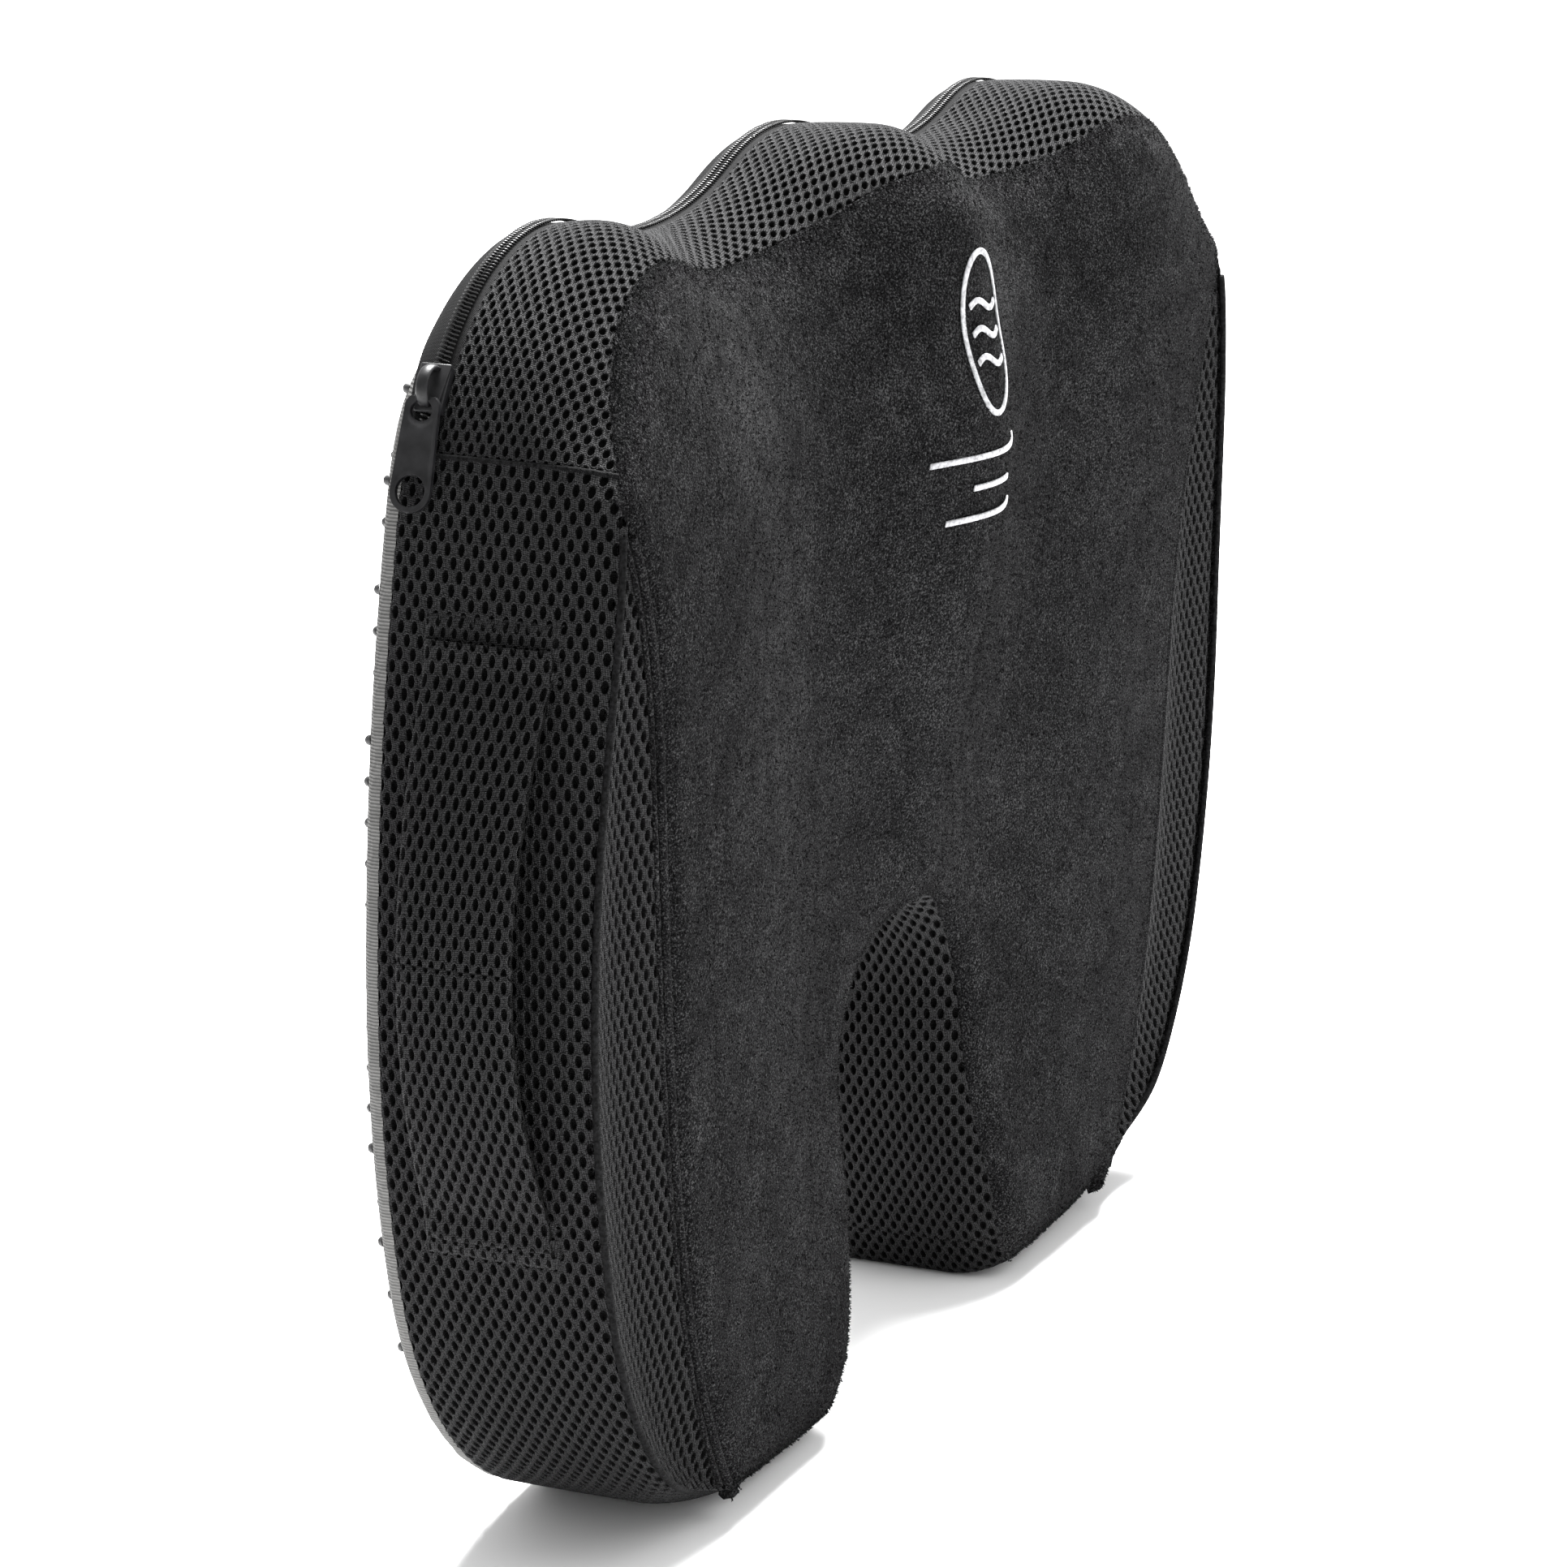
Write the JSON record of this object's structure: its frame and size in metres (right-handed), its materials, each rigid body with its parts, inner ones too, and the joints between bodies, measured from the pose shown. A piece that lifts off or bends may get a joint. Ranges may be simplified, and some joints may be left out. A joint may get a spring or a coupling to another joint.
{
  "type": "seat cushion",
  "caption": "U-shaped tailbone seat cushion on its rear edge: contoured foam in a zipped velour and mesh cover, with a grip underside and a side carry handle.",
  "frame": {"origin": "on the floor, under the middle of the whole object with its handle, at the rear edge it stands on", "axes": "+Z from the rear edge to the front edge, +X away from the carry handle, +Y out of the grip side, so the seat side faces -Y"},
  "size_m": [0.4784, 0.0805, 0.3533],
  "materials": {
    "foam": "open-cell memory foam",
    "velour": "short-pile black velour",
    "mesh": "black spacer mesh with oval cells",
    "grip": "ribbed grey non-slip cloth with rubber dots",
    "zip_tape": "ribbed woven tape",
    "zip_coil": "nylon coil",
    "slider": "black lacquered die-cast zinc",
    "thread": "silver satin-stitch thread"
  },
  "bodies": {
    "root": {"foam_core": "foam", "top_panel": "velour", "welt_left": "velour", "welt_right": "velour", "gusset_left": "mesh", "gusset_right": "mesh", "front_band": "mesh", "side_band_left": "mesh", "side_band_right": "mesh", "cutout_band": "mesh", "base_panel": "grip", "zip_tape_upper": "zip_tape", "zip_tape_lower": "zip_tape", "zip_coil_upper": "zip_coil", "zip_coil_lower": "zip_coil", "zip_stop_start": "zip_coil", "zip_stop_end": "zip_coil", "handle_tab_top": "mesh", "handle_tab_bottom": "mesh", "emblem": "thread"},
    "slider": {"zip_slider": "slider", "zip_slider_plate": "slider"},
    "pull": {"zip_pull_tab": "slider"},
    "handle": {"handle_strap": "mesh"}
  },
  "joints": [
    {"name": "zip_slide", "type": "hinge", "parent": "root", "child": "slider", "pos_m": [-0.14446, 0.03, 0.274], "axis": [0, 1, 0], "range_deg": [0, 68]},
    {"name": "zip_pull", "type": "hinge", "parent": "slider", "child": "pull", "pos_m": [-0.21057, 0.03, 0.31288], "axis": [0, 1, 0], "range_deg": [0, 140]},
    {"name": "handle_lift", "type": "slide", "parent": "root", "child": "handle", "axis": [-1, 0, 0], "range_m": [0, 0.018], "stiffness_N_per_m": 80}
  ]
}
